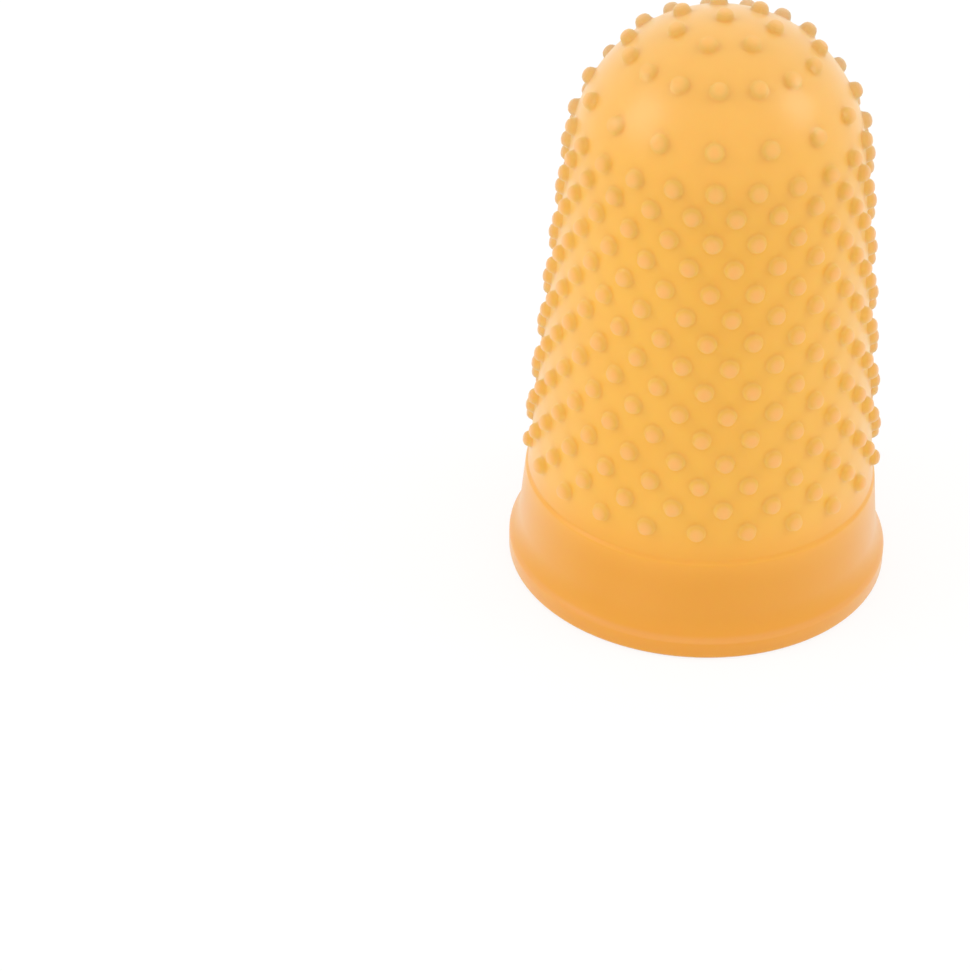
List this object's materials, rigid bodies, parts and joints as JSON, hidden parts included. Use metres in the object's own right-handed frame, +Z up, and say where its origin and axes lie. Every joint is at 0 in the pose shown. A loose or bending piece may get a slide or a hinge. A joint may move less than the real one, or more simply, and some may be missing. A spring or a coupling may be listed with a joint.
{
  "type": "rubber finger tip",
  "caption": "Translucent amber rubber finger tip: a tapered cup with a domed end, small gripping pips all over and a smooth beaded cuff at its open mouth.",
  "frame": {"origin": "centre of the mouth, in the plane of the rim that the finger tip stands on", "axes": "+Z up the axis from the mouth to the domed end; -Y is where the columns of pips start"},
  "size_m": [0.018, 0.018, 0.0284],
  "materials": {
    "rubber": "satin, translucent"
  },
  "bodies": {
    "root": {"finger_tip": "rubber"}
  },
  "joints": []
}
